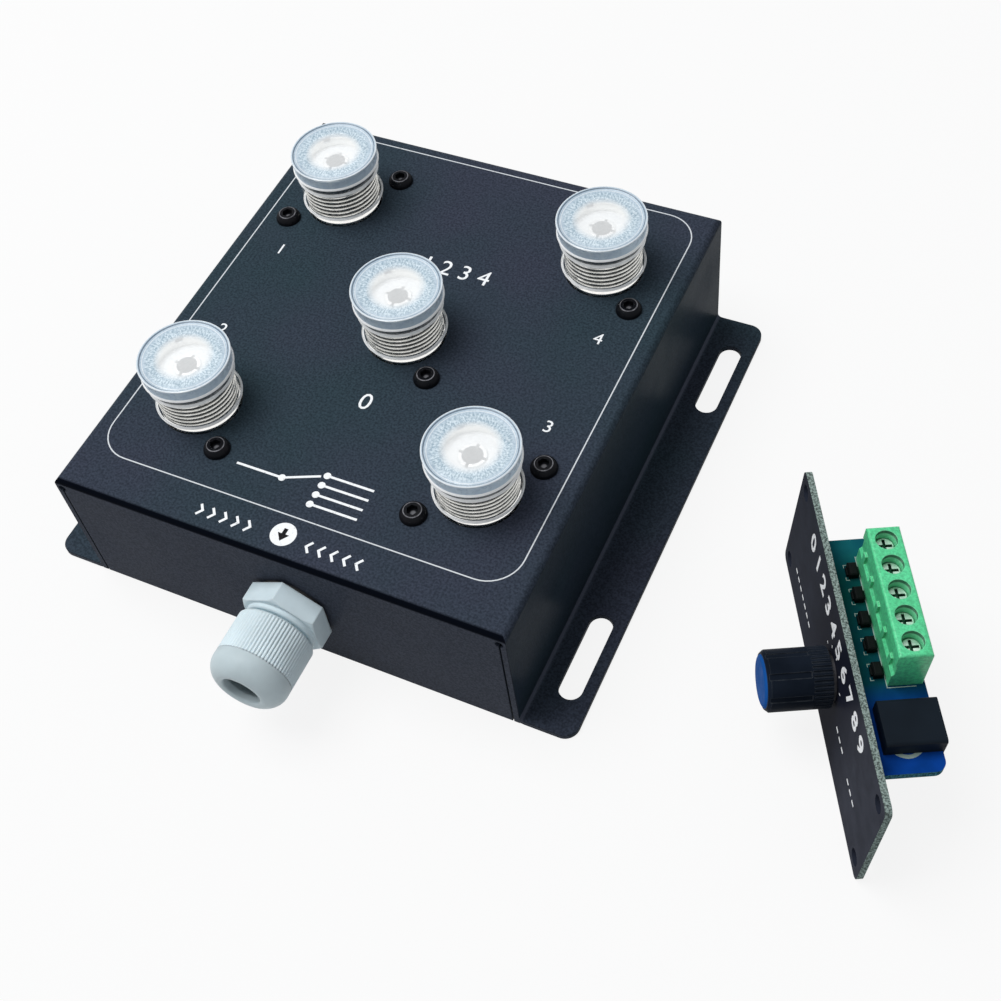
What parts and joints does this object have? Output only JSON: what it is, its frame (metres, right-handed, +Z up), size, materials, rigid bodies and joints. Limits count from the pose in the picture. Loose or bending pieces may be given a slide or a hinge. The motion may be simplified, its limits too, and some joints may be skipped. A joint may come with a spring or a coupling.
{
  "type": "coaxial antenna switch",
  "caption": "Remote coaxial antenna switch: folded steel relay box with capped coaxial sockets, slotted ears and a cable gland, beside its open-board hand controller with a selector knob.",
  "frame": {"origin": "centre of the relay box's underside, on the surface it stands on", "axes": "+X right along the wall that holds the cable gland, towards the controller; +Y back, away from the gland; +Z up through the sockets"},
  "size_m": [0.1814, 0.1287, 0.0453],
  "materials": {
    "black_steel": "fine satin powder coat",
    "nickel": "bright nickel plate",
    "white_insulator": "smooth white fluoroplastic",
    "contact_metal": "silver plate",
    "clear_cap": "clear soft plastic, faintly blue",
    "black_screw": "black oxide",
    "zinc_steel": "zinc plate",
    "relay_case": "moulded",
    "green_board": "solder resist",
    "black_board": "matt black solder resist, pale laminate edge",
    "blue_board": "blue solder resist",
    "gland_plastic": "pale grey nylon",
    "rubber_black": "soft rubber",
    "knob_black": "moulded, fine grain",
    "knob_blue": "moulded",
    "terminal_green": "moulded nylon",
    "jack_black": "moulded",
    "switch_case": "moulded",
    "wafer_brown": "phenolic laminate",
    "diode_black": "moulded"
  },
  "bodies": {
    "relay_box": {"cover": "black_steel", "bottom_plate": "black_steel", "bottom_screws": "zinc_steel", "corner_posts": "zinc_steel", "port1_shell": "nickel", "port1_insulator": "white_insulator", "port1_contact": "contact_metal", "port1_relay": "relay_case", "port2_shell": "nickel", "port2_insulator": "white_insulator", "port2_contact": "contact_metal", "port2_relay": "relay_case", "port3_shell": "nickel", "port3_insulator": "white_insulator", "port3_contact": "contact_metal", "port3_relay": "relay_case", "port4_shell": "nickel", "port4_insulator": "white_insulator", "port4_contact": "contact_metal", "port4_relay": "relay_case", "common_shell": "nickel", "common_insulator": "white_insulator", "common_contact": "contact_metal", "socket_screws": "black_screw", "socket_nuts": "zinc_steel", "board_spacers": "zinc_steel", "board_screws": "zinc_steel", "relay_board": "green_board", "relay_diodes": "diode_black", "control_terminal": "terminal_green", "gland_body": "gland_plastic", "gland_gasket": "rubber_black", "gland_locknut": "gland_plastic"},
    "port1_cap": {"port1_dust_cap": "clear_cap"},
    "port2_cap": {"port2_dust_cap": "clear_cap"},
    "port3_cap": {"port3_dust_cap": "clear_cap"},
    "port4_cap": {"port4_dust_cap": "clear_cap"},
    "common_cap": {"common_dust_cap": "clear_cap"},
    "gland_clamp": {"gland_seal": "rubber_black"},
    "gland_dome": {"gland_nut": "gland_plastic"},
    "controller": {"front_panel": "black_board", "logic_board": "blue_board", "switch_body": "switch_case", "switch_wafer": "wafer_brown", "switch_pins": "zinc_steel", "switch_washer": "zinc_steel", "switch_nut": "nickel", "terminal_block": "terminal_green", "terminal_cages": "nickel", "power_jack": "jack_black", "jack_pin": "nickel", "line_diodes": "diode_black"},
    "selector": {"switch_shaft": "zinc_steel", "knob": "knob_black", "knob_insert": "knob_blue"},
    "wire_clamp_1": {"terminal_screw_1": "zinc_steel"},
    "wire_clamp_2": {"terminal_screw_2": "zinc_steel"},
    "wire_clamp_3": {"terminal_screw_3": "zinc_steel"},
    "wire_clamp_4": {"terminal_screw_4": "zinc_steel"},
    "wire_clamp_5": {"terminal_screw_5": "zinc_steel"}
  },
  "joints": [
    {"name": "port1_cap_pull", "type": "slide", "parent": "relay_box", "child": "port1_cap", "axis": [0, 0, 1], "range_m": [0, 0.06]},
    {"name": "port2_cap_pull", "type": "slide", "parent": "relay_box", "child": "port2_cap", "axis": [0, 0, 1], "range_m": [0, 0.06]},
    {"name": "port3_cap_pull", "type": "slide", "parent": "relay_box", "child": "port3_cap", "axis": [0, 0, 1], "range_m": [0, 0.06]},
    {"name": "port4_cap_pull", "type": "slide", "parent": "relay_box", "child": "port4_cap", "axis": [0, 0, 1], "range_m": [0, 0.06]},
    {"name": "common_cap_pull", "type": "slide", "parent": "relay_box", "child": "common_cap", "axis": [0, 0, 1], "range_m": [0, 0.06]},
    {"name": "gland_travel", "type": "slide", "parent": "relay_box", "child": "gland_clamp", "axis": [0, -1, 0], "range_m": [0, 0.003]},
    {"name": "gland_turn", "type": "hinge", "parent": "gland_clamp", "child": "gland_dome", "pos_m": [0.0022, -0.0542, 0.0157], "axis": [0, -1, 0], "range_deg": [0, 720]},
    {"name": "controller_lift", "type": "slide", "parent": "relay_box", "child": "controller", "axis": [0, 0, 1], "range_m": [0, 0.06]},
    {"name": "selector_turn", "type": "hinge", "parent": "controller", "child": "selector", "pos_m": [0.09967, -0.03099, 0.0143], "axis": [-0.8758, -0.4775, 0.0698], "range_deg": [-60, 60]},
    {"name": "wire_clamp_1_turn", "type": "hinge", "parent": "controller", "child": "wire_clamp_1", "pos_m": [0.10186, -0.01157, 0.03216], "axis": [0.0612, 0.0334, 0.9976], "range_deg": [0, 1080]},
    {"name": "wire_clamp_2_turn", "type": "hinge", "parent": "controller", "child": "wire_clamp_2", "pos_m": [0.10429, -0.01603, 0.03216], "axis": [0.0612, 0.0334, 0.9976], "range_deg": [0, 1080]},
    {"name": "wire_clamp_3_turn", "type": "hinge", "parent": "controller", "child": "wire_clamp_3", "pos_m": [0.10672, -0.02049, 0.03216], "axis": [0.0612, 0.0334, 0.9976], "range_deg": [0, 1080]},
    {"name": "wire_clamp_4_turn", "type": "hinge", "parent": "controller", "child": "wire_clamp_4", "pos_m": [0.10916, -0.02495, 0.03216], "axis": [0.0612, 0.0334, 0.9976], "range_deg": [0, 1080]},
    {"name": "wire_clamp_5_turn", "type": "hinge", "parent": "controller", "child": "wire_clamp_5", "pos_m": [0.11159, -0.02941, 0.03216], "axis": [0.0612, 0.0334, 0.9976], "range_deg": [0, 1080]}
  ],
  "couplings": [
    {"joint": "gland_travel", "follows": "gland_turn", "m_per_rad": 0.00023873}
  ]
}
